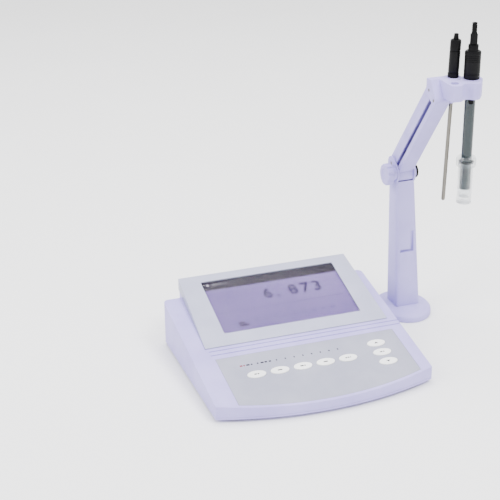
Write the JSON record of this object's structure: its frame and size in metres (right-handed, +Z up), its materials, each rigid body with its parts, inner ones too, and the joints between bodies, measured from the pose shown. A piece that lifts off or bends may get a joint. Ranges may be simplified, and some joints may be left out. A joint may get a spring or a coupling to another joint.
{
  "type": "ph meter",
  "caption": "Bench pH meter: sloped console with display and keys, and a stand whose jointed arm holds a pH electrode in its storage bottle and a temperature probe.",
  "frame": {"origin": "middle of the meter's footprint, on the bench", "axes": "+Z up, +X to the user's right, -Y towards the user"},
  "size_m": [0.4004, 0.2776, 0.4316],
  "materials": {
    "case_lavender": "fine moulded texture",
    "panel_grey": "smooth satin film and moulding",
    "key_white": "satin",
    "display_lens": "clear polycarbonate",
    "display_glass": "lit purple display",
    "black_plastic": "moulded, semi gloss",
    "black_rubber": "matt",
    "circuit_board": "green solder mask",
    "steel": "brushed and plated",
    "electrode_glass": "dark teal filled tube",
    "clear_plastic": "clear moulded plastic"
  },
  "bodies": {
    "root": {"case_screw_1": "steel", "case_screw_2": "steel", "case_screw_3": "steel", "case_screw_4": "steel", "display_board": "circuit_board", "display_housing": "panel_grey", "display_window": "display_lens", "electrode_socket": "steel", "key_board": "circuit_board", "keypad_overlay": "panel_grey", "lcd_frame": "black_plastic", "lcd_glass": "display_glass", "lower_case": "case_lavender", "main_board": "circuit_board", "plate_screw_1": "steel", "plate_screw_2": "steel", "power_inlet": "black_plastic", "rear_panel": "panel_grey", "reference_socket": "steel", "rubber_foot_back_left": "black_rubber", "rubber_foot_back_right": "black_rubber", "rubber_foot_front_left": "black_rubber", "rubber_foot_front_right": "black_rubber", "serial_port": "steel", "stand_foot": "case_lavender", "stand_plate": "steel", "swivel_bolt": "steel", "swivel_nut": "steel", "temperature_socket": "black_plastic", "upper_case": "case_lavender"},
    "column_swivel": {"column": "case_lavender", "upper_elbow_pin": "steel", "tension_nut": "black_plastic"},
    "upper_arm": {"upper_link": "case_lavender"},
    "lower_arm": {"lower_link": "case_lavender"},
    "head": {"electrode_holder": "case_lavender", "upper_head_pin": "steel", "lower_head_pin": "steel"},
    "knob": {"tension_knob": "case_lavender", "tension_bolt": "steel"},
    "ph_electrode": {"electrode_cap": "black_plastic", "electrode_strain_relief": "black_rubber", "electrode_body": "electrode_glass", "inner_tube": "electrode_glass", "glass_bulb": "clear_plastic"},
    "plug": {"refill_plug": "black_rubber"},
    "bottle": {"storage_bottle": "clear_plastic", "bottle_ring": "clear_plastic", "bottle_seal": "black_rubber"},
    "probe": {"probe_handle": "black_plastic", "probe_strain_relief": "black_rubber", "probe_rod": "steel"},
    "key_1": {"key_1": "key_white"},
    "key_2": {"key_2": "key_white"},
    "key_3": {"key_3": "key_white"},
    "key_4": {"key_4": "key_white"},
    "key_5": {"key_5": "key_white"},
    "key_6": {"key_6": "key_white"},
    "key_7": {"key_7": "key_white"},
    "key_8": {"key_8": "key_white"}
  },
  "joints": [
    {"name": "key_1_press", "type": "slide", "parent": "root", "child": "key_1", "axis": [0, 0.1805, -0.9836], "range_m": [0, 0.0006], "stiffness_N_per_m": 1500},
    {"name": "key_2_press", "type": "slide", "parent": "root", "child": "key_2", "axis": [0, 0.1805, -0.9836], "range_m": [0, 0.0006], "stiffness_N_per_m": 1500},
    {"name": "key_3_press", "type": "slide", "parent": "root", "child": "key_3", "axis": [0, 0.1805, -0.9836], "range_m": [0, 0.0006], "stiffness_N_per_m": 1500},
    {"name": "key_4_press", "type": "slide", "parent": "root", "child": "key_4", "axis": [0, 0.1805, -0.9836], "range_m": [0, 0.0006], "stiffness_N_per_m": 1500},
    {"name": "key_5_press", "type": "slide", "parent": "root", "child": "key_5", "axis": [0, 0.1805, -0.9836], "range_m": [0, 0.0006], "stiffness_N_per_m": 1500},
    {"name": "key_6_press", "type": "slide", "parent": "root", "child": "key_6", "axis": [0, 0.1805, -0.9836], "range_m": [0, 0.0006], "stiffness_N_per_m": 1500},
    {"name": "key_7_press", "type": "slide", "parent": "root", "child": "key_7", "axis": [0, 0.1805, -0.9836], "range_m": [0, 0.0006], "stiffness_N_per_m": 1500},
    {"name": "key_8_press", "type": "slide", "parent": "root", "child": "key_8", "axis": [0, 0.1805, -0.9836], "range_m": [0, 0.0006], "stiffness_N_per_m": 1500},
    {"name": "column_turn", "type": "hinge", "parent": "root", "child": "column_swivel", "pos_m": [0.14875, 0.09125, 0.0143], "axis": [0, 0, 1], "range_deg": [-45, 60]},
    {"name": "arm_tilt", "type": "hinge", "parent": "column_swivel", "child": "upper_arm", "pos_m": [0.14775, 0.11583, 0.21523], "axis": [1, 0, 0], "range_deg": [-25, 38]},
    {"name": "lower_link_tilt", "type": "hinge", "parent": "column_swivel", "child": "lower_arm", "pos_m": [0.14775, 0.10225, 0.205], "axis": [1, 0, 0], "range_deg": [-25, 38]},
    {"name": "head_level", "type": "hinge", "parent": "upper_arm", "child": "head", "pos_m": [0.14775, 0.01773, 0.34541], "axis": [1, 0, 0], "range_deg": [-38, 25]},
    {"name": "knob_turn", "type": "hinge", "parent": "column_swivel", "child": "knob", "pos_m": [0.12475, 0.10225, 0.205], "axis": [-1, 0, 0], "range_deg": [-180, 90]},
    {"name": "electrode_lift", "type": "slide", "parent": "head", "child": "ph_electrode", "axis": [0, 0, 1], "range_m": [0, 0.08]},
    {"name": "refill_plug_pull", "type": "slide", "parent": "ph_electrode", "child": "plug", "axis": [-0.3256, -0.9455, 0], "range_m": [0, 0.008]},
    {"name": "bottle_take_off", "type": "slide", "parent": "ph_electrode", "child": "bottle", "axis": [0, 0, -1], "range_m": [0, 0.05]},
    {"name": "probe_lift", "type": "slide", "parent": "head", "child": "probe", "axis": [0.0262, 0, 0.9997], "range_m": [0, 0.1]}
  ],
  "couplings": [
    {"joint": "lower_link_tilt", "follows": "arm_tilt", "ratio": 1},
    {"joint": "head_level", "follows": "arm_tilt", "ratio": -1}
  ]
}
